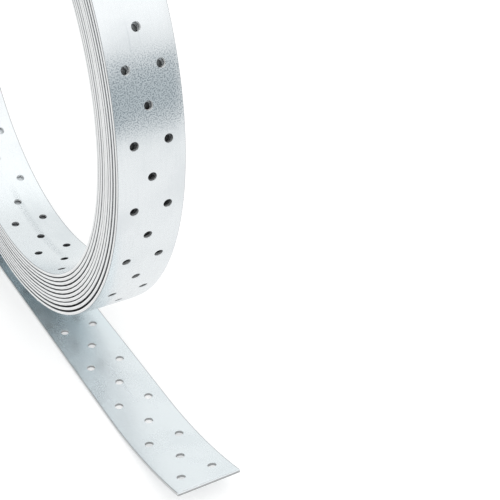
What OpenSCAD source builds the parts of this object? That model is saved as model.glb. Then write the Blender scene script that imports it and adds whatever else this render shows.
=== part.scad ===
// Perforated steel strap wound into a standing coil, with its free end run
// out along the floor. The origin is the middle of the coil's eye, the coil
// axis lies along Y, Z is up and the free end points towards +X.

/* [Strap] */
// Width of the strap
strap_w = 40; // [32:1:60]
// Thickness of the strap
strap_t = 2; // [1:0.1:3]
// Easing along the slit edges
edge_ease = 0.2; // [0.1:0.05:0.3]

/* [Holes] */
// Diameter of a hole
hole_d = 5; // [3:0.1:7]
// Distance between hole rows along the strap
row_step = 20; // [16:0.5:30]
// Distance of a side hole from the middle of the strap
lane_step = 10; // [8:0.5:13]
// Distance from the cut end to the first row
end_margin = 14.5; // [8:0.5:20]

/* [Coil] */
// Diameter of the eye of the coil
eye_d = 275.5; // [200:0.5:360]
// Laps counted at the bottom of the coil
laps = 10; // [3:1:14]
// Air gap between laps
winding_gap = 0.6; // [0.5:0.05:1.2]
// Width of the solid web that joins the laps midway
web_w = 4; // [3:0.5:16]

/* [Free end] */
// How far the outermost lap has sprung off the coil where it leaves
spring_off = 5; // [0:0.5:20]
// Clear height between the free run and the coil
coil_lift = 10.5; // [4:0.5:30]
// Distance of the touchdown line behind the coil axis
touch_back = 15; // [5:1:40]
// Length that lies flat on the floor
flat_run = 164; // [80:1:400]
// Radius of the upturned tip, on its underside
tip_r = 260; // [150:1:500]
// Length of the upturned tip
tip_len = 87; // [30:1:150]

/* [Hidden] */

$fn = 180;
hole_fn = 32;
// Cutters stand this far clear of the strap
clear = 1;

pitch = strap_t + winding_gap;

// Lower half laps are centred on the coil axis. Upper half laps are centred
// half a pitch behind it, so the halves meet smoothly and wind outwards.
function lower_r(lap) = eye_d / 2 + lap * pitch;
function upper_r(lap) = lower_r(lap) - pitch / 2;
floor_z = -lower_r(laps - 1) - 2 * strap_t - coil_lift;

// The outermost upper half lap springs open, so it is larger and set back
sprung_r = upper_r(laps) + spring_off / 2;
sprung_x = -pitch / 2 - spring_off / 2;

// It leaves the coil level with the axis, drops straight, and bends round a
// quarter turn to the floor
leave_x = lower_r(laps) + spring_off + strap_t;
bend_r = leave_x - touch_back;
drop_len = -floor_z - bend_r;
tip_a = deg_of(tip_len, tip_r - strap_t / 2);

function deg_of(length, r) = length / r * 180 / PI;
function arc_len(inside_r, angle) = (inside_r + strap_t / 2) * angle * PI / 180;

// Distance along the strap from its cut end to the far end of each stretch
tip_end = tip_len;
flat_end = tip_end + flat_run;
bend_end = flat_end + arc_len(bend_r - strap_t, 90);
drop_end = bend_end + drop_len;
outer_top_end = drop_end + arc_len(sprung_r, 180);
outer_low_end = outer_top_end + arc_len(lower_r(laps - 1), 180);
function wound_len(lap) =
    lap < 1 ? 0 : arc_len(upper_r(lap), 180) + arc_len(lower_r(lap - 1), 180) + wound_len(lap - 1);
strap_len = outer_low_end + wound_len(laps - 1);
inner_low_start = strap_len - arc_len(lower_r(0), 180);
inner_top_start = inner_low_start - arc_len(upper_r(1), 180);

// Section of one lap, standing at its inside radius
module lap_section(inside_r) {
    half = strap_w / 2;
    translate([inside_r, 0])
        polygon([
            [edge_ease, -half], [strap_t - edge_ease, -half],
            [strap_t, edge_ease - half], [strap_t, half - edge_ease],
            [strap_t - edge_ease, half], [edge_ease, half],
            [0, half - edge_ease], [0, edge_ease - half]
        ]);
}

// Section of neighbouring laps, open at both ends and joined midway by the web
module wound_section(first_r, count) {
    for (lap = [0:count - 1])
        lap_section(first_r + lap * pitch);
    translate([first_r + strap_t / 2, -web_w / 2])
        square([(count - 1) * pitch, web_w]);
}

module lower_half() {
    rotate(180)
        rotate_extrude(angle = 180)
            wound_section(lower_r(0), laps);
}

module upper_half() {
    translate([-pitch / 2, 0])
        rotate_extrude(angle = 180)
            wound_section(upper_r(1), laps - 1);
}

module sprung_lap() {
    translate([sprung_x, 0])
        rotate_extrude(angle = 180)
            lap_section(sprung_r);
}

module drop() {
    translate([-leave_x, 0])
        rotate([90, 0, 0])
            linear_extrude(height = drop_len)
                mirror([1, 0])
                    lap_section(-strap_t);
}

module bend() {
    translate([-touch_back, floor_z + bend_r])
        rotate(180)
            rotate_extrude(angle = 90)
                lap_section(bend_r - strap_t);
}

module flat_stretch() {
    translate([-touch_back, floor_z + strap_t])
        rotate(-90)
            rotate([-90, 0, 0])
                linear_extrude(height = flat_run)
                    lap_section(0);
}

module tip() {
    translate([flat_run - touch_back, floor_z + tip_r])
        rotate(270)
            rotate_extrude(angle = tip_a)
                lap_section(tip_r - strap_t);
}

// Rows alternate between a pair of side holes and one middle hole
module row_holes(row, inside_r, from_r, to_r) {
    for (lane = row % 2 == 0 ? [-lane_step, lane_step] : [0])
        translate([inside_r + from_r, 0, lane])
            rotate([0, 90, 0])
                cylinder(d = hole_d, h = to_r - from_r, $fn = hole_fn);
}

function first_row(start) = max(0, ceil((start - end_margin) / row_step));
function last_row(end) = ceil((end - end_margin) / row_step) - 1;
function row_at(row) = end_margin + row * row_step;

// Holes along an arc that runs from start to end and is at out_a where it starts
module arc_holes(start, end, inside_r, out_a, from_r, to_r) {
    for (row = [first_row(start):1:last_row(end)])
        rotate(out_a - deg_of(row_at(row) - start, inside_r + strap_t / 2))
            row_holes(row, inside_r, from_r, to_r);
}

module free_end_holes() {
    through = strap_t + clear;
    translate([flat_run - touch_back, floor_z + tip_r])
        arc_holes(0, tip_end, tip_r - strap_t, 270 + tip_a, -clear, through);
    for (row = [first_row(tip_end):1:last_row(flat_end)])
        translate([flat_run - touch_back - row_at(row) + tip_end, floor_z + strap_t])
            rotate(-90)
                row_holes(row, 0, -clear, through);
    translate([-touch_back, floor_z + bend_r])
        arc_holes(flat_end, bend_end, bend_r - strap_t, 270, -clear, through);
    for (row = [first_row(bend_end):1:last_row(drop_end)])
        translate([-leave_x + strap_t, floor_z + bend_r + row_at(row) - bend_end])
            rotate(180)
                row_holes(row, 0, -clear, through);
}

// Holes that show on the outside and in the eye of the coil end in the air gap
module coil_holes() {
    mid_gap = winding_gap / 2;
    out = strap_t + clear;
    translate([sprung_x, 0])
        arc_holes(drop_end, outer_top_end, sprung_r, 180, -mid_gap, out);
    arc_holes(outer_top_end, outer_low_end, lower_r(laps - 1), 360, -mid_gap, out);
    translate([-pitch / 2, 0])
        arc_holes(inner_top_start, inner_low_start, upper_r(1), 180, -clear, strap_t + mid_gap);
    arc_holes(inner_low_start, strap_len - hole_d, lower_r(0), 360, -clear, strap_t + mid_gap);
}

module strap() {
    color("gainsboro")
        rotate([90, 0, 0])
            difference() {
                union() {
                    lower_half();
                    upper_half();
                    sprung_lap();
                    drop();
                    bend();
                    flat_stretch();
                    tip();
                }
                coil_holes();
                free_end_holes();
            }
}

strap();
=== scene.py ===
"""Perforated steel strap: the wound strap, its zinc finish and a studio to see it in."""

import math

import bpy
import numpy as np
from mathutils import Matrix, Vector


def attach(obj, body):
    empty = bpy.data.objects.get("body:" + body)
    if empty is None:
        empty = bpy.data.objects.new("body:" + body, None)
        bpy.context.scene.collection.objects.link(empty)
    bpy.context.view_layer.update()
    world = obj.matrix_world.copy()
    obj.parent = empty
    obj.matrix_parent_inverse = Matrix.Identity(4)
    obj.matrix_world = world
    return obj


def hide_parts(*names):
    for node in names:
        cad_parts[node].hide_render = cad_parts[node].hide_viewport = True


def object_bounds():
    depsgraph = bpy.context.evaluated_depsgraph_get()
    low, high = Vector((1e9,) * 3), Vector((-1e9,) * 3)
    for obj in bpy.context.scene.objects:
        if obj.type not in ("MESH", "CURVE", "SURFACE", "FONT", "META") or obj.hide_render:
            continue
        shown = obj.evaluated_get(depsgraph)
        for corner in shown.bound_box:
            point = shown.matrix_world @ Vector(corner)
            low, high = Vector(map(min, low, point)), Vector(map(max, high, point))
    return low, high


bl_info = {
    "name": "Perforated Steel Strap",
    "version": (1, 0, 0),
    "blender": (4, 5, 0),
    "location": "View3D > Sidebar > Strap",
    "description": "Builds a coil of perforated galvanised strap with its free end run out on a floor",
    "category": "Add Mesh",
}

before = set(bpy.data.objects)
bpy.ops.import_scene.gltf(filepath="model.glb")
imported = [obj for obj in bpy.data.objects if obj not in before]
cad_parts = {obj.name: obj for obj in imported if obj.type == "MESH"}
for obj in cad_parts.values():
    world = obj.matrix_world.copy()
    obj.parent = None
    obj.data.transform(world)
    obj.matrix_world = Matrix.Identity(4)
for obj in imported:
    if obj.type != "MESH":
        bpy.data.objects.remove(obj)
CAD_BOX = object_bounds()
MM = 0.001


# Sizes, finish and studio settings

def millimetres(name, description, default, **limits):
    """Property for a length in millimetres"""
    return bpy.props.FloatProperty(
        name=name, description=description, default=default, subtype="DISTANCE_CAMERA", **limits)


def degrees(name, description, default):
    """Property for an angle that is stated in degrees and kept in radians"""
    return bpy.props.FloatProperty(
        name=name, description=description, default=math.radians(default), subtype="ANGLE")


def tint(name, description, default):
    """Property for a colour"""
    return bpy.props.FloatVectorProperty(
        name=name, description=description, default=default, subtype="COLOR", size=3, min=0.0, max=1.0)


class StrapSizes(bpy.types.PropertyGroup):
    """Sizes of the strap, its holes and the way it is wound, in millimetres"""
    strap_w: millimetres("Width", "Width of the strap", 40.0, min=30.0)
    strap_t: millimetres("Thickness", "Thickness of the strap", 2.0, min=1.0)
    edge_round: millimetres("Edge round", "Rounding along the slit edges", 0.32)
    hole_d: millimetres("Hole", "Diameter of a hole", 5.0)
    rim_round: millimetres("Rim round", "Rolled-in rim of a punched hole", 0.25)
    hole_sides: bpy.props.IntProperty(
        name="Hole sides", description="Sides of a hole's outline", default=24, min=8)
    row_step: millimetres("Row step", "Distance between hole rows", 20.0)
    lane_step: millimetres("Lane step", "Side hole to the strap's middle", 10.0)
    end_margin: millimetres("End margin", "Cut end to the first row", 14.5)
    eye_d: millimetres("Eye", "Diameter of the coil's eye", 275.5)
    laps: bpy.props.IntProperty(
        name="Laps", description="Laps at the bottom of the coil", default=10, min=3)
    winding_gap: millimetres("Gap", "Air gap between laps", 0.6)
    spring_off: millimetres("Spring", "Outermost lap's stand-off where it leaves the coil", 5.0)
    coil_lift: millimetres("Lift", "Clear height between the free run and the coil", 10.5)
    touch_back: millimetres("Touchdown", "Touchdown line behind the coil's axis", 15.0)
    flat_run: millimetres("Flat run", "Length that lies flat on the floor", 164.0)
    tip_r: millimetres("Tip radius", "Radius of the upturned tip", 260.0)
    tip_len: millimetres("Tip length", "Length of the upturned tip", 87.0)
    stagger: millimetres("Stagger", "Sideways wander of the laps", 0.12)
    slack: millimetres("Slack", "Radial wander of the laps", 0.15)
    loose: millimetres("Loose lap", "Outer lap's wider gap at the bottom", 0.1)
    tight: millimetres("Tight laps", "Squeeze of the laps at the front", 1.45)
    sag: millimetres("Sag", "Innermost lap's shift towards the eye at the bottom", 1.35)
    crown: millimetres("Turned edge", "Turn of the slit edges towards the eye", 0.42)


class StrapFinish(bpy.types.PropertyGroup):
    """Colours of the zinc coat, and of the shade, light and reflections painted on it"""
    zinc: tint("Zinc", "Bright zinc coat", (0.81, 0.84, 0.855))
    dull: tint("Dull zinc", "Greyed patches of the coat", (0.60, 0.64, 0.665))
    sheared: tint("Slit edge", "Bright metal of the slit edges", (0.92, 0.93, 0.93))
    rolled: tint("Rolled corner", "Rounded corners of the slit edges", (0.31, 0.32, 0.33))
    # Bare metal of the hole walls, made dark as painted shade inside the holes
    punched: tint("Hole wall", "Bare metal inside the holes", (0.14, 0.15, 0.155))
    # Dark flecks: a painted reflection on the outer lap, painted shade beside the coil and a real scuff
    # in the eye
    fleck: tint("Fleck", "Dark flecks of the mottled stretch", (0.36, 0.40, 0.43))
    # Bluish tint: painted reflection of the coil's shaded underside where the strap bends under it, and
    # a light tint by the cut end
    blue_tint: tint("Patina", "Bluish coat where the strap lay damp", (0.73, 0.85, 0.90))
    # Painted shade between the laps and in shaded holes
    buried: tint("Buried laps", "Darkness between the laps and in shaded holes", (0.05, 0.055, 0.06))


class StudioSettings(bpy.types.PropertyGroup):
    """Where the camera stands and how it looks"""
    eye: bpy.props.FloatVectorProperty(
        name="Camera", description="Camera position", subtype="TRANSLATION", unit="LENGTH",
        default=(0.661625, -0.262000, 0.354927), size=3)
    azimuth: degrees("Azimuth", "Camera azimuth", 56.840)
    elevation: degrees("Elevation", "Camera elevation", 35.293)
    roll: degrees("Roll", "Camera roll", -3.744)
    lens: millimetres("Lens", "Focal length of the camera", 91.155)


# Stretches of the finish, as stations in metres from the strap's cut end. A window begins, is full,
# starts to end and is over at its four stations, and a ramp rises between its two.

# Dark flecks painted on the outer lap where it reflects the dusky side of the sky, a painted reflection
# in its spangle
MOTTLED = (0.960, 0.978, 0.998, 1.015)
# Painted bluish reflection of the coil's shaded underside where the strap bends round under the coil,
# and painted shade on the strap beside it
UNDER_COIL = (0.12, 0.25, 0.40, 0.60)
COIL_SHADE = (0.20, 0.27, 0.42, 0.60)
# Scuff in the eye
SCUFFED = (9.745, 9.770, 9.835, 9.855)
# End of the weathered stretch by the cut end, of the free end, and start of the lap in the eye
WEATHERED_END = (0.15, 0.24)
FREE_END = (0.3, 0.55)
EYE_START = (9.0, 9.1)
# Where the sprung outermost lap closes up, and the stretch of the second that it stands clear of
CLOSING = (0.76, 0.98)
SPRUNG = (1.545, 1.550, 1.62, 1.90)
# End of the strap's own cut face
CUT_FACE = (0.00005, 0.0001)
# Past the strap's inner end, so that a window stays full up to it
NEVER = (11.0, 12.0)
# Painted light and shade in the holes and what shows through them: painted lit, dim and shaded,
# each window with its strength
LIT_HOLES = (
    ((0.70, 0.80, 0.99, 1.02), 1.0), ((1.70, 1.80, 2.00, 2.03), 1.0), ((2.68, 2.78, 2.98, 3.03), 0.6),
    ((8.72, 8.82, 9.05, 9.10), 0.3), ((8.92, 8.98, 9.05, 9.10), 0.7),
    ((9.76, 9.82, *NEVER), 0.3), ((9.80, 9.86, *NEVER), 0.7))
DIM_HOLES = (
    ((1.00, 1.02, 1.10, 1.20), 1.0), ((2.00, 2.03, 2.10, 2.18), 1.0), ((3.00, 3.03, 3.12, 3.20), 1.0))
SHADED_HOLES = (((1.10, 1.20, 1.36, 1.45), 1.0), ((9.66, 9.70, 9.76, 9.80), 1.0))

# Bands across the strap, in metres. The lanes of the holes and the scuff are measured from its
# middle, and the others outwards from its corner, up over the slit edge.
LANES = (0.0130, 0.0150)
SCUFF_SHIFT = 0.0012
SCUFF_BAND = (0.0008, 0.0035)
LINED = (-0.0009, -0.0003)
SUNK = (-0.0009, -0.00025)
LAND = (0.00005, 0.0003, 0.0017, 0.00195)
SEAM = (0.0006, 0.0008, 0.0008, 0.0010)
CUT_TOP = (0.0009, 0.0013)

# Studio

WHITE = (1.0, 1.0, 1.0, 1.0)
FLOOR_GREY = (0.64, 0.64, 0.64, 1.0)
# Glow that brings the floor up to white for the camera, and how far a reflection sees it white
FLOOR_GLOW = 0.40
FLOOR_MIRRORED = 0.7
FLOOR_SIDE = 2.4
# Clearance under the strap
FLOOR_DROP = 0.0002
# Name, place, side and power of each lamp
LAMPS = (
    ("key_light", (0.9, 0.5, 1.5), 1.5, 4.0),
    ("fill_light", (0.2, -1.6, 1.4), 1.4, 1.5))
# Direction of the dusky side of the sky, and the colours there and opposite
SKY_SIDE = (0.998, 0.07, 0.0)
SKY_DUSK = (0.46, 0.52, 0.55, 1.0)
SKY_COOL = (0.98, 1.0, 1.0, 1.0)
SENSOR_WIDTH = 36.0


# Shader writing

class Sock:
    """A shader socket that takes part in Python arithmetic"""

    def __init__(self, shader, socket):
        self.shader = shader
        self.socket = socket

    def _math(self, operation, a, b):
        return self.shader.node("ShaderNodeMath", {"operation": operation}, {0: a, 1: b})

    def __add__(self, other):
        return self._math("ADD", self, other)

    def __radd__(self, other):
        return self._math("ADD", other, self)

    def __sub__(self, other):
        return self._math("SUBTRACT", self, other)

    def __rsub__(self, other):
        return self._math("SUBTRACT", other, self)

    def __mul__(self, other):
        return self._math("MULTIPLY", self, other)

    def __rmul__(self, other):
        return self._math("MULTIPLY", other, self)

    def at_least(self, other):
        """The larger of the two values"""
        return self._math("MAXIMUM", self, other)

    def size(self):
        """The value without its sign"""
        return self.shader.node("ShaderNodeMath", {"operation": "ABSOLUTE"}, {0: self})


class Shader:
    """Node tree of a material or world, with one method that adds nodes"""

    def __init__(self, tree):
        self.tree = tree
        tree.nodes.clear()

    def node(self, kind, settings, inputs, out=0):
        """Add a node: its settings first, then the values or links of its sockets"""
        made = self.tree.nodes.new(kind)
        for key, value in settings.items():
            setattr(made, key, value)
        for key, value in inputs.items():
            if isinstance(value, Sock):
                self.tree.links.new(value.socket, made.inputs[key])
            else:
                made.inputs[key].default_value = value
        return Sock(self, made.outputs[out]) if made.outputs else made

    def ramp(self, value, low, high):
        """0 up to low, 1 from high on, and a smooth rise between them"""
        return self.node(
            "ShaderNodeMapRange", {"interpolation_type": "SMOOTHSTEP"},
            {"Value": value, "From Min": low, "From Max": high, "To Min": 0.0, "To Max": 1.0})

    def window(self, value, low, rise, fall, high):
        """1 from rise to fall, fading to 0 at low and high"""
        return self.ramp(value, low, rise) * (1.0 - self.ramp(value, fall, high))

    def windows(self, value, stretches):
        """Sum of windows, each with its strength"""
        total = 0.0
        for stretch, strength in stretches:
            total = self.window(value, *stretch) * strength + total
        return total

    def blend(self, factor, a, b):
        """Colour that goes from a to b"""
        return self.node("ShaderNodeMix", {"data_type": "RGBA"}, {0: factor, 6: a, 7: b}, out=2)

    def noise(self, vector, scale, detail, rough=0.5):
        """Noise between 0 and 1"""
        return self.node(
            "ShaderNodeTexNoise", {"noise_dimensions": "3D"},
            {"Vector": vector, "Scale": scale, "Detail": detail, "Roughness": rough})


def new_material(name):
    """An empty material, and the shader that fills it"""
    material = bpy.data.materials.new(name)
    material.use_nodes = True
    return material, Shader(material.node_tree)


def rgba(colour):
    """A colour setting as an opaque socket value"""
    return (*colour, 1.0)


def zinc_coat(sizes, finish):
    """Satin hot-dip zinc: fine spangle, dull clouds, rolling lines along the strap and rubbed streaks.
    Shade between the laps and in the holes, light on lit hole walls, and reflections on the outer lap
    and under the coil are painted
    """
    material, sh = new_material("zinc_coat")
    uv = sh.node("ShaderNodeTexCoord", {}, {}, out=2)
    station = sh.node("ShaderNodeSeparateXYZ", {}, {"Vector": uv})
    across = sh.node("ShaderNodeSeparateXYZ", {}, {"Vector": uv}, out=1)
    along = sh.node("ShaderNodeMapping", {}, {"Vector": uv, "Scale": (0.05, 1.0, 1.0)})
    slit, punched, buried = (
        sh.node("ShaderNodeAttribute", {"attribute_name": name}, {}, out=2)
        for name in ("slit", "punched", "buried"))

    # Patterns of the coat
    clouds = sh.noise(uv, scale=30.0, detail=3.0)
    lines = sh.noise(along, scale=1100.0, detail=3.0, rough=0.6)
    grain = sh.noise(uv, scale=850.0, detail=3.0, rough=0.6)
    specks = sh.ramp(sh.noise(uv, scale=1350.0, detail=1.0), 0.47, 0.62)
    streaks = sh.ramp(sh.noise(along, scale=260.0, detail=5.0, rough=0.7), 0.60, 0.72)
    rubbed = streaks * sh.ramp(sh.noise(uv, scale=14.0, detail=1.0), 0.52, 0.64)
    spangle = sh.node("ShaderNodeTexVoronoi", {"feature": "F1"}, {"Vector": uv, "Scale": 900.0}, out=1)
    facet = sh.node("ShaderNodeSeparateColor", {}, {"Color": spangle})

    # Places along and across the strap
    mottled = sh.window(station, *MOTTLED)
    weathered = 1.0 - sh.ramp(station, *WEATHERED_END)
    shadowed = sh.window(station, *UNDER_COIL)
    coil_shade = sh.window(station, *COIL_SHADE)
    scuffed = sh.window(station, *SCUFFED) * (1.0 - sh.ramp((across + SCUFF_SHIFT).size(), *SCUFF_BAND))
    free = 1.0 - sh.ramp(station, *FREE_END)
    smooth = 1.0 - free * 0.85
    depth = across.size() - sizes.strap_w / 2 * MM
    lanes = 1.0 - sh.ramp(across.size(), *LANES)
    dim = sh.windows(station, DIM_HOLES) * lanes
    lit = sh.windows(station, LIT_HOLES) * lanes + dim * 0.4
    shaded = sh.windows(station, SHADED_HOLES)

    # Coat of the two faces, darker in a line along the corners of the free end and in the eye, flecked
    # as a painted reflection of the dusky side on the outer lap
    dulled = (sh.ramp(clouds, 0.45, 0.75) * 0.25 + rubbed * 0.5 + specks * mottled * 0.5
              + (sh.ramp(lines, 0.45, 0.8) * 0.15 + facet * 0.06 + specks * 0.04) * smooth)
    coat = sh.blend(dulled, rgba(finish.zinc), rgba(finish.dull))
    # Painted bluish reflection of the coil's shaded underside, and a light blue tint by the cut end
    coat = sh.blend(shadowed * 0.8 + weathered * 0.15, coat, rgba(finish.blue_tint))
    # Dark flecks: painted shade beside the coil, a painted reflection on the outer lap and a real scuff
    # in the eye
    for marked in (coil_shade * 0.35, mottled * specks * 0.9, scuffed * specks * 0.6):
        coat = sh.blend(marked, coat, rgba(finish.fleck))
    lined = sh.ramp(depth, *LINED) * (1.0 - slit) * (free + sh.ramp(station, *EYE_START))
    coat = sh.blend(lined * 0.55, coat, rgba(finish.rolled))

    # Slit edges: a bright land with a fine seam between dark corners, darkened by half on the free end
    # as painted shade. The upper part of the cut end is painted in the coat's colour, to read as the lit
    # top face.
    seam = sh.window(depth, *SEAM)
    scratched = sh.ramp(lines, 0.50, 0.70)
    shine = (sh.window(depth, *LAND) * (1.0 - seam * 0.5) * (1.0 - free * 0.5)
             * (1.0 - scratched * 0.2))
    painted_cut_top = (1.0 - sh.ramp(station, *CUT_FACE)) * sh.ramp(depth, *CUT_TOP)
    edge = sh.blend(shine, rgba(finish.rolled), rgba(finish.sheared))
    edged = sh.blend(slit * (1.0 - painted_cut_top), coat, edge)

    # Hole walls: bare metal made dark as painted shade, painted darker in shade, and painted lighter
    # towards bright metal where lit and on the free end
    wall = sh.blend(shaded, rgba(finish.punched), rgba(finish.buried))
    wall = sh.blend(lit + free * 0.3, wall, rgba(finish.sheared))
    holed = sh.blend(punched, edged, wall)
    # Painted shade between the laps: faces that face another lap go dark away from their edges, but not
    # where the sprung lap stands clear or a hole is lit
    closed = sh.ramp(station, *CLOSING) * (1.0 - sh.window(station, *SPRUNG))
    sunk = buried * closed * (1.0 - sh.ramp(depth, *SUNK)) * (1.0 - lit * 0.95)
    colour = sh.blend(sunk, holed, rgba(finish.buried))

    # Gloss and relief
    metal = (1.0 - punched * (0.3 + lit * 0.6) - buried * dim * 0.5
             - shadowed * 0.15 - weathered * 0.22)
    rough = (0.23 + dulled * 0.10 + grain * 0.06 + slit * 0.2
             + punched * (0.2 + shaded * 0.5) + buried * 0.3)
    relief = grain * (0.35 * smooth) + lines * (0.2 * smooth + slit * 1.2)
    bump = sh.node("ShaderNodeBump", {}, {"Strength": 0.07, "Distance": 0.0003, "Height": relief})
    surface = sh.node(
        "ShaderNodeBsdfPrincipled", {},
        {"Base Color": colour, "Metallic": metal, "Roughness": rough, "Normal": bump})
    sh.node("ShaderNodeOutputMaterial", {}, {"Surface": surface})
    return material


def studio_floor():
    """White floor: it keeps shadows, and reads white to the camera and in reflections"""
    material, sh = new_material("studio_floor")
    camera = sh.node("ShaderNodeLightPath", {}, {})
    glossy, through = (
        Sock(sh, camera.socket.node.outputs[name]) for name in ("Is Glossy Ray", "Is Transmission Ray"))
    seen = camera.at_least(glossy).at_least(through)
    matt = sh.node("ShaderNodeBsdfDiffuse", {}, {"Color": FLOOR_GREY})
    glow = sh.node("ShaderNodeEmission", {}, {"Color": WHITE, "Strength": seen * FLOOR_GLOW})
    both = sh.node("ShaderNodeAddShader", {}, {0: matt, 1: glow})
    mirrored = sh.node("ShaderNodeEmission", {}, {"Color": WHITE, "Strength": 1.0})
    floor = sh.node("ShaderNodeMixShader", {}, {0: glossy * FLOOR_MIRRORED, 1: both, 2: mirrored})
    sh.node("ShaderNodeOutputMaterial", {}, {"Surface": floor})
    return material


# Modelling helpers

def start_alone():
    """Leave edit mode with nothing selected"""
    if bpy.context.object and bpy.context.object.mode != "OBJECT":
        bpy.ops.object.mode_set(mode="OBJECT")
    bpy.ops.object.select_all(action="DESELECT")


def only(obj):
    """Select one object and make it active"""
    start_alone()
    obj.select_set(True)
    bpy.context.view_layer.objects.active = obj


def pick(obj, mode, test):
    """Select the elements of a mesh that pass a test, and stay in edit mode"""
    only(obj)
    bpy.ops.object.mode_set(mode="EDIT")
    bpy.ops.mesh.select_mode(type=mode)
    bpy.ops.mesh.select_all(action="DESELECT")
    bpy.ops.object.mode_set(mode="OBJECT")
    mesh = obj.data
    if mode == "FACE":
        for face in mesh.polygons:
            face.select = test(face)
    else:
        for edge in mesh.edges:
            edge.select = test(*(mesh.vertices[i].co for i in edge.vertices))
    bpy.ops.object.mode_set(mode="EDIT")


def apply_modifier(obj, kind, **settings):
    """Add a modifier to an object and apply it"""
    only(obj)
    modifier = obj.modifiers.new(kind.lower(), kind)
    for key, value in settings.items():
        setattr(modifier, key, value)
    bpy.ops.object.modifier_apply(modifier=modifier.name)


def read(items, key, width=1, kind=np.float64):
    """One value of every element of a mesh, as an array with a row for each"""
    values = np.empty(len(items) * width, kind)
    items.foreach_get(key, values)
    return values.reshape(-1, width) if width > 1 else values


# Winding and modelling, in millimetres

# Stretches of the free end: tip, flat run, bend and drop
FREE_STRETCHES = 4
# Share of the outer top lap wound up to the holes that face the camera
SEEN_SHARE = 0.86
# Spare length at each end of a bar, sawn off once its edges are eased
SPARE = 2.0
# Cells of the second lap that are punched, enough for what shows through the first
SECOND_CELLS = 16
# Cuts along a punched and a plain bar, and points along the winding, for a smooth bend
FINE_STEP = 5.0
COARSE_STEP = 10.0
PATH_STEP = 1.2
# Lines along the strap, out from its middle, past which its edges turn
EDGE_LINES = (14.0, 17.0)
# How far past a hole's radius its rim is looked for
RIM_REACH = 0.05
# Length of the sprung lap, from where it leaves the coil, that stands clear of the second
SPRUNG_LEN = 250.0

# Tolerances in metres: points that are one, faces at a station and edges that lie level
WELD = 2e-5
AT_STATION = 1e-5
LEVEL = 1e-6


class Winding:
    """The strap's path in the XZ plane, measured from its cut end"""

    def __init__(self, sizes):
        t, laps = sizes.strap_t, sizes.laps
        pitch = t + sizes.winding_gap

        def lower(lap):
            return sizes.eye_d / 2 + lap * pitch

        def upper(lap):
            return lower(lap) - pitch / 2

        floor = -lower(laps - 1) - 2 * t - sizes.coil_lift
        leave = lower(laps) + sizes.spring_off + t
        bend = leave - sizes.touch_back
        tip_x = sizes.flat_run - sizes.touch_back
        tip_mid = sizes.tip_r - t / 2
        tip_turn = math.degrees(sizes.tip_len / tip_mid)
        half_spring = sizes.spring_off / 2
        self.stretches = [
            self.arc(tip_x, floor + sizes.tip_r, tip_mid, -90 + tip_turn, -90),
            self.line((tip_x, floor + t / 2), (-sizes.touch_back, floor + t / 2)),
            self.arc(-sizes.touch_back, floor + bend, bend - t / 2, -90, -180),
            self.line((-leave + t / 2, floor + bend), (-leave + t / 2, 0.0)),
            self.arc(-pitch / 2 - half_spring, 0.0, upper(laps) + half_spring + t / 2, 180, 0),
            self.arc(0.0, 0.0, lower(laps - 1) + t / 2, 0, -180),
        ]
        for lap in range(laps - 1, 0, -1):
            self.stretches.append(self.arc(-pitch / 2, 0.0, upper(lap) + t / 2, 180, 0))
            self.stretches.append(self.arc(0.0, 0.0, lower(lap - 1) + t / 2, 0, -180))
        lengths = [length for length, _ in self.stretches]
        self.length = sum(lengths)
        self.outer_len = sum(lengths[:FREE_STRETCHES + 2])
        self.inner_len = sum(lengths[-2:])
        self.level = np.cumsum(lengths)[FREE_STRETCHES - 1:]
        top, bottom, second = np.diff(self.level[:4])
        self.lap_len = top + bottom + (second - top) * SEEN_SHARE

    @staticmethod
    def arc(x, z, r, start, end):
        """Length of an arc, and the function that gives its point at a share of that length"""
        def at(share):
            angle = math.radians(start + (end - start) * share)
            return x + r * math.cos(angle), z + r * math.sin(angle)
        return r * math.radians(start - end), at

    @staticmethod
    def line(start, end):
        """Length of a straight, and the function that gives its point at a share of that length"""
        def at(share):
            return tuple(a + (b - a) * share for a, b in zip(start, end))
        return math.dist(start, end), at

    def half_turns(self, stations):
        """Half turns wound up to a station, counted from where the strap leaves the coil"""
        return np.interp(stations, self.level, np.arange(len(self.level)))

    def points(self):
        """Points along the whole path"""
        path = []
        for length, at in self.stretches:
            count = max(2, round(length / PATH_STEP))
            path.extend(at(step / count) for step in range(count))
        path.append(self.stretches[-1][1](1.0))
        return path


def strap_bar(name, sizes, start, end, rows=(), spacing=FINE_STEP, cut=None):
    """A flat bar of strap from one station to another, with the holes of its rows

    It is open at both ends, where it meets its neighbours, and closed only at the strap's own cut end.
    """
    start_alone()
    bpy.ops.mesh.primitive_cube_add(size=1.0, location=((start + end) / 2 * MM, 0.0, 0.0))
    bar = bpy.context.object
    bar.name = name
    bar.scale = ((end - start + 2 * SPARE) * MM, sizes.strap_w * MM, sizes.strap_t * MM)
    bpy.ops.object.transform_apply(location=True, rotation=True, scale=True)
    ease_edges(bar, sizes)
    saw_off(bar, start, clear_inner=True)
    saw_off(bar, end, clear_outer=True)
    if rows:
        punch_holes(bar, sizes, rows)
        ease_rims(bar, sizes, rows)
    open_ends(bar, [station for station in (start, end) if station != cut])
    steps = max(1, round((end - start) / spacing))
    divide(bar, (1.0, 0.0, 0.0), [start + (end - start) * k / steps for k in range(1, steps)])
    divide(bar, (0.0, 1.0, 0.0), [side * y for side in (-1, 1) for y in EDGE_LINES])
    return bar


def ease_edges(bar, sizes):
    """Round the four long edges of a bar"""
    pick(bar, "EDGE", lambda a, b: abs(a.x - b.x) > SPARE * MM)
    bpy.ops.mesh.bevel(offset=sizes.edge_round * MM, segments=2, profile=0.5, affect="EDGES")
    bpy.ops.object.mode_set(mode="OBJECT")


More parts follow.
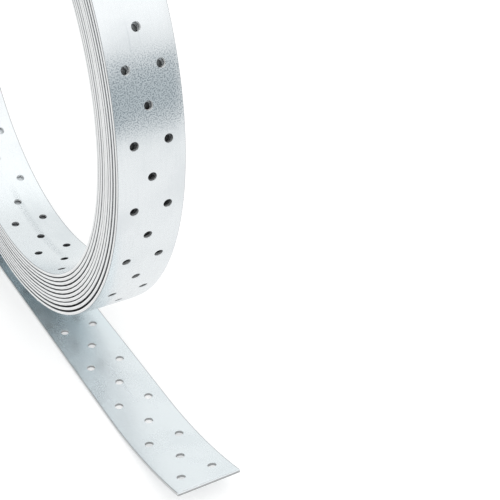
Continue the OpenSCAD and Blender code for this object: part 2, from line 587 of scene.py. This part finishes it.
def saw_off(bar, place, **side):
    """Take the spare length off one end of a bar and close it"""
    only(bar)
    bpy.ops.object.mode_set(mode="EDIT")
    bpy.ops.mesh.select_all(action="SELECT")
    bpy.ops.mesh.bisect(
        plane_co=(place * MM, 0.0, 0.0), plane_no=(1.0, 0.0, 0.0), use_fill=True, **side)
    bpy.ops.object.mode_set(mode="OBJECT")


def punch_holes(bar, sizes, rows):
    """Cut the holes of a bar's rows"""
    cutters = []
    for station, lanes in rows:
        for lane in lanes:
            start_alone()
            bpy.ops.mesh.primitive_cylinder_add(
                vertices=sizes.hole_sides, radius=sizes.hole_d / 2 * MM, depth=sizes.strap_t * 3 * MM,
                location=(station * MM, lane * MM, 0.0))
            cutters.append(bpy.context.object)
    for cutter in cutters:
        apply_modifier(bar, "BOOLEAN", operation="DIFFERENCE", solver="EXACT", object=cutter)
    start_alone()
    for cutter in cutters:
        cutter.select_set(True)
    bpy.ops.object.delete()


def ease_rims(bar, sizes, rows):
    """Round the rims of a bar's holes on both faces"""
    reach = (sizes.hole_d / 2 + RIM_REACH) * MM
    centres = [Vector((station * MM, lane * MM)) for station, lanes in rows for lane in lanes]

    def rim(a, b):
        return abs(a.z - b.z) < LEVEL and any(
            (a.xy - centre).length < reach and (b.xy - centre).length < reach for centre in centres)

    pick(bar, "EDGE", rim)
    bpy.ops.mesh.bevel(offset=sizes.rim_round * MM, segments=1, profile=0.5, affect="EDGES")
    bpy.ops.object.mode_set(mode="OBJECT")


def open_ends(bar, stations):
    """Take the closing faces off a bar at the stations where it meets its neighbours"""
    pick(bar, "FACE", lambda f: any(abs(f.center.x - s * MM) < AT_STATION for s in stations))
    bpy.ops.mesh.delete(type="FACE")
    bpy.ops.object.mode_set(mode="OBJECT")


def divide(bar, across, places):
    """Cut a bar's faces along planes square to one axis"""
    only(bar)
    bpy.ops.object.mode_set(mode="EDIT")
    for place in places:
        bpy.ops.mesh.select_all(action="SELECT")
        bpy.ops.mesh.bisect(plane_co=[place * MM * c for c in across], plane_no=across)
    bpy.ops.object.mode_set(mode="OBJECT")


def repeat_bar(bar, step, count):
    """Lay copies of a bar end to end and weld them"""
    apply_modifier(
        bar, "ARRAY", count=count, use_relative_offset=False, use_constant_offset=True,
        constant_offset_displace=(step * MM, 0.0, 0.0), use_merge_vertices=True, merge_threshold=WELD)
    return bar


def flat_strap(sizes, winding):
    """The whole strap laid flat along X: punched where it shows, plain where laps bury it

    The second lap's holes sit under those of the first, where they show through them.
    It comes with the stations where the outer lap ends and the lap in the eye starts.
    """
    cell = 2 * sizes.row_step
    first = sizes.end_margin - sizes.row_step / 2

    def rows(start):
        pair = start + sizes.row_step / 2
        return [(pair, (-sizes.lane_step, sizes.lane_step)), (pair + sizes.row_step, (0.0,))]

    def punched_run(name, start, count):
        return repeat_bar(strap_bar(name, sizes, start, start + cell, rows(start)), cell, count)

    def plain_run(name, start, count):
        bar = strap_bar(name, sizes, start, start + cell, spacing=COARSE_STEP)
        return repeat_bar(bar, cell, count)

    outer_cells = math.ceil((winding.outer_len - first) / cell)
    outer_end = first + outer_cells * cell
    skipped = math.ceil((outer_end + cell - first - winding.lap_len) / cell)
    second_start = first + winding.lap_len + skipped * cell
    second_end = second_start + SECOND_CELLS * cell
    inner_cells = math.ceil(winding.inner_len / cell)
    last = first + cell * math.floor((winding.length - first) / cell)
    inner_start = last - inner_cells * cell
    buried_cells = math.floor((inner_start - second_end) / cell)
    buried_end = second_end + buried_cells * cell
    strap = strap_bar("strap", sizes, 0.0, first, cut=0.0)
    parts = (
        punched_run("outer_run", first, outer_cells),
        strap_bar("outer_join", sizes, outer_end, second_start, spacing=COARSE_STEP),
        punched_run("second_run", second_start, SECOND_CELLS),
        plain_run("buried_run", second_end, buried_cells),
        strap_bar("inner_join", sizes, buried_end, inner_start, spacing=COARSE_STEP),
        punched_run("inner_run", inner_start, inner_cells),
        strap_bar("inner_end", sizes, last, winding.length, cut=winding.length))
    only(strap)
    for part in parts:
        part.select_set(True)
    bpy.ops.object.join()
    bpy.ops.object.mode_set(mode="EDIT")
    bpy.ops.mesh.select_all(action="SELECT")
    bpy.ops.mesh.remove_doubles(threshold=WELD)
    bpy.ops.mesh.normals_make_consistent(inside=False)
    bpy.ops.object.mode_set(mode="OBJECT")
    return strap, outer_end, inner_start


def mark_up(strap, sizes, winding, outer_end, inner_start):
    """UV in metres along and across the flat strap, so the finish follows it, and marks on its faces

    The marks are the slit edges with the two cut ends, the hole walls, and the sides that face
    another lap. The side that will face the eye is up.
    """
    mesh = strap.data
    places = read(mesh.vertices, "co", 3)
    normals = read(mesh.polygons, "normal", 3)
    centres = read(mesh.polygons, "center", 3)
    spans = read(mesh.polygons, "loop_total", kind=np.int32)
    corner = places[read(mesh.loops, "vertex_index", kind=np.int32)]
    half_w, half_t = sizes.strap_w / 2 * MM, sizes.strap_t / 2 * MM
    station = centres[:, 0]
    flat = np.abs(normals[:, 2]) > 0.5
    cut = (station < AT_STATION) | (station > winding.length * MM - AT_STATION)
    slit = cut | (np.abs(centres[:, 1]) > half_w - sizes.edge_round * MM)
    outward = normals[:, 2] < 0
    inward_start = (winding.level[0] + SPRUNG_LEN) * MM
    covered = np.where(
        outward, station > outer_end * MM, (station > inward_start) & (station < inner_start * MM))
    marks = {"slit": slit, "punched": ~flat & ~slit, "buried": flat & ~slit & covered}
    for name, mask in marks.items():
        layer = mesh.attributes.new(name, "FLOAT", "FACE")
        layer.data.foreach_set("value", mask.astype(np.float32))
    across = corner[:, 1].copy()
    on_slit = np.repeat(slit, spans)
    side = np.where(np.repeat(cut, spans), 1.0, np.sign(corner[:, 1]))
    across[on_slit] = (side * (half_w + half_t + corner[:, 2]))[on_slit]
    layer = mesh.uv_layers[0] if mesh.uv_layers else mesh.uv_layers.new(name="strap_uv")
    layer.data.foreach_set("uv", np.column_stack((corner[:, 0], across)).ravel())


# Where the wander and the turned edges set in and are full, as stations in metres
WANDER_RISE = (1.0, 1.5)
TURN_RISE = (0.1, 0.4)
# Middle and spread of the outer lap's loose stretch, as stations in metres
LOOSE_STRETCH = (1.28, 0.2)
# Middle and spread of the coil's front and bottom, in half turns of a lap
FRONT = (1.0, 0.28)
BOTTOM = (1.5, 0.22)
# Squeeze of the first, second, third and innermost laps
SQUEEZE = (0.0, 0.55, 1.0, 0.0)


def sway(stations, slow, quick):
    """Two waves along the strap, each with its rate and phase"""
    return (0.6 * np.sin(stations * slow[0] + slow[1])
            + 0.4 * np.sin(stations * quick[0] + quick[1]))


def swell(values, middle, spread):
    """A smooth rise to 1 about a middle"""
    return np.exp(-((values - middle) / spread) ** 2)


def wander(strap, sizes, winding):
    """Let the laps stray, as a hand-wound coil does: tight at the front, spread at the bottom"""
    mesh = strap.data
    places = read(mesh.vertices, "co", 3)
    s = places[:, 0]
    wound = np.interp(s, WANDER_RISE, (0.0, 1.0))
    places[:, 1] += sizes.stagger * MM * wound * sway(s, (5.1, 0.7), (11.3, 2.1))
    turn_from = EDGE_LINES[0]
    edge = np.clip(np.abs(places[:, 1]) / MM - turn_from, 0.0, None) / (sizes.strap_w / 2 - turn_from)
    places[:, 2] += sizes.crown * MM * edge ** 2 * np.interp(s, TURN_RISE, (0.0, 1.0))
    places[:, 2] += sizes.slack * MM * wound * sway(s, (7.9, 1.3), (17.7, 0.4))
    places[:, 2] -= sizes.loose * MM * swell(s, *LOOSE_STRETCH)
    turns = winding.half_turns(s / MM)
    lap, turn = np.floor(turns / 2), turns % 2
    squeeze = np.interp(lap, (0, 1, 2, sizes.laps - 1), SQUEEZE)
    places[:, 2] += sizes.tight * MM * swell(turn, *FRONT) * squeeze
    places[:, 2] += sizes.sag * MM * swell(turn, *BOTTOM) * lap / (sizes.laps - 1)
    mesh.vertices.foreach_set("co", places.ravel())
    mesh.update()


def wind_up(strap, winding):
    """Bend the flat strap along its winding with a curve"""
    path = winding.points()
    data = bpy.data.curves.new("winding", "CURVE")
    data.dimensions = "3D"
    data.twist_mode = "MINIMUM"
    spline = data.splines.new("POLY")
    spline.points.add(len(path) - 1)
    spline.points.foreach_set("co", [c for x, z in path for c in (x * MM, 0.0, z * MM, 1.0)])
    guide = bpy.data.objects.new("winding", data)
    bpy.context.scene.collection.objects.link(guide)
    apply_modifier(strap, "CURVE", object=guide, deform_axis="POS_X")
    bpy.data.objects.remove(guide)
    bpy.data.curves.remove(data)


class STRAP_OT_wound_strap(bpy.types.Operator):
    """Model the punched strap flat, wind it into the coil and give it its zinc coat"""
    bl_idname = "strap.wound_strap"
    bl_label = "Wound Strap"

    def execute(self, context):
        sizes = context.scene.strap_sizes
        winding = Winding(sizes)
        strap, outer_end, inner_start = flat_strap(sizes, winding)
        mark_up(strap, sizes, winding, outer_end, inner_start)
        wander(strap, sizes, winding)
        wind_up(strap, winding)
        strap.name = "wound_strap"
        strap.data.name = "wound_strap"
        only(strap)
        bpy.ops.object.shade_smooth()
        apply_modifier(strap, "WEIGHTED_NORMAL", mode="FACE_AREA", weight=50, keep_sharp=True)
        strap.data.materials.clear()
        strap.data.materials.append(zinc_coat(sizes, context.scene.strap_finish))
        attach(strap, "root")
        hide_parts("strap")
        return {"FINISHED"}


class STRAP_OT_studio(bpy.types.Operator):
    """Set the floor, the lamps, the sky and the camera"""
    bl_idname = "strap.studio"
    bl_label = "Studio"

    def execute(self, context):
        self.floor()
        self.lamps(context.scene)
        self.sky(context.scene)
        self.camera(context.scene, context.scene.strap_studio)
        return {"FINISHED"}

    def floor(self):
        """White floor just under the strap"""
        start_alone()
        bpy.ops.mesh.primitive_plane_add(
            size=FLOOR_SIDE, location=(0.0, 0.0, CAD_BOX[0][2] - FLOOR_DROP))
        floor = bpy.context.object
        floor.name = "floor"
        bpy.ops.object.transform_apply(location=True, rotation=True, scale=True)
        floor.data.materials.append(studio_floor())

    def lamps(self, scene):
        """Soft square lamps that face the middle of the coil"""
        for name, place, side, power in LAMPS:
            data = bpy.data.lights.new(name, "AREA")
            data.shape = "SQUARE"
            data.size = side
            data.energy = power
            lamp = bpy.data.objects.new(name, data)
            lamp.visible_glossy = False
            lamp.location = place
            lamp.rotation_euler = (-Vector(place)).to_track_quat("-Z", "Y").to_euler()
            scene.collection.objects.link(lamp)

    def sky(self, scene):
        """White to the camera. The metal also sees a dusky side, and soft boxes above and aside"""
        world = bpy.data.worlds.new("studio_sky")
        world.use_nodes = True
        scene.world = world
        sh = Shader(world.node_tree)
        camera = sh.node("ShaderNodeLightPath", {}, {})
        direction = sh.node("ShaderNodeTexCoord", {}, {})
        height = sh.node("ShaderNodeSeparateXYZ", {}, {"Vector": direction}, out=2)
        aside = sh.node(
            "ShaderNodeVectorMath", {"operation": "DOT_PRODUCT"}, {0: direction, 1: SKY_SIDE}, out=1)
        dusk = sh.ramp(aside, 0.68, 0.93) * (1.0 - sh.ramp(height, 0.14, 0.32))
        sides = sh.blend(sh.ramp(aside, -0.5, 0.3), SKY_COOL, WHITE)
        colour = sh.blend(camera, sh.blend(dusk, sides, SKY_DUSK), WHITE)
        top_box = sh.ramp(height, 0.75, 0.95) * 0.28
        side_box = sh.ramp(aside, 0.2, 0.7) * sh.ramp(height, 0.3, 0.5) * 0.22
        strength = 1.0 + (top_box + side_box) * (1.0 - camera)
        back = sh.node("ShaderNodeBackground", {}, {"Color": colour, "Strength": strength})
        sh.node("ShaderNodeOutputWorld", {}, {"Surface": back})

    def camera(self, scene, settings):
        """Camera turned by its azimuth and elevation, then rolled about its line of sight"""
        az, el, roll = settings.azimuth, settings.elevation, settings.roll
        back = Vector((math.sin(az) * math.cos(el), -math.cos(az) * math.cos(el), math.sin(el)))
        level = Vector((0.0, 0.0, 1.0)).cross(back).normalized()
        rise = back.cross(level)
        right = level * math.cos(roll) - rise * math.sin(roll)
        up = level * math.sin(roll) + rise * math.cos(roll)
        data = bpy.data.cameras.new("camera")
        data.lens = settings.lens
        data.sensor_width = SENSOR_WIDTH
        camera = bpy.data.objects.new("camera", data)
        turn = Matrix((right, up, back)).transposed().to_4x4()
        camera.matrix_world = Matrix.Translation(settings.eye) @ turn
        scene.collection.objects.link(camera)
        scene.camera = camera
        scene.view_settings.view_transform = "Standard"


class STRAP_PT_panel(bpy.types.Panel):
    """Lists the strap's settings and its operators"""
    bl_label = "Perforated Strap"
    bl_idname = "STRAP_PT_panel"
    bl_space_type = "VIEW_3D"
    bl_region_type = "UI"
    bl_category = "Strap"

    def draw(self, context):
        scene = context.scene
        for group in (scene.strap_sizes, scene.strap_finish, scene.strap_studio):
            box = self.layout.box()
            for key in group.__annotations__:
                box.prop(group, key)
        for operator in (STRAP_OT_wound_strap, STRAP_OT_studio):
            self.layout.operator(operator.bl_idname)


CLASSES = (
    StrapSizes, StrapFinish, StudioSettings, STRAP_OT_wound_strap, STRAP_OT_studio, STRAP_PT_panel)


def register():
    for cls in CLASSES:
        bpy.utils.register_class(cls)
    bpy.types.Scene.strap_sizes = bpy.props.PointerProperty(type=StrapSizes)
    bpy.types.Scene.strap_finish = bpy.props.PointerProperty(type=StrapFinish)
    bpy.types.Scene.strap_studio = bpy.props.PointerProperty(type=StudioSettings)


def unregister():
    del bpy.types.Scene.strap_studio
    del bpy.types.Scene.strap_finish
    del bpy.types.Scene.strap_sizes
    for cls in reversed(CLASSES):
        bpy.utils.unregister_class(cls)


def main():
    register()
    bpy.ops.strap.wound_strap()
    bpy.ops.strap.studio()


if __name__ == "__main__":
    main()
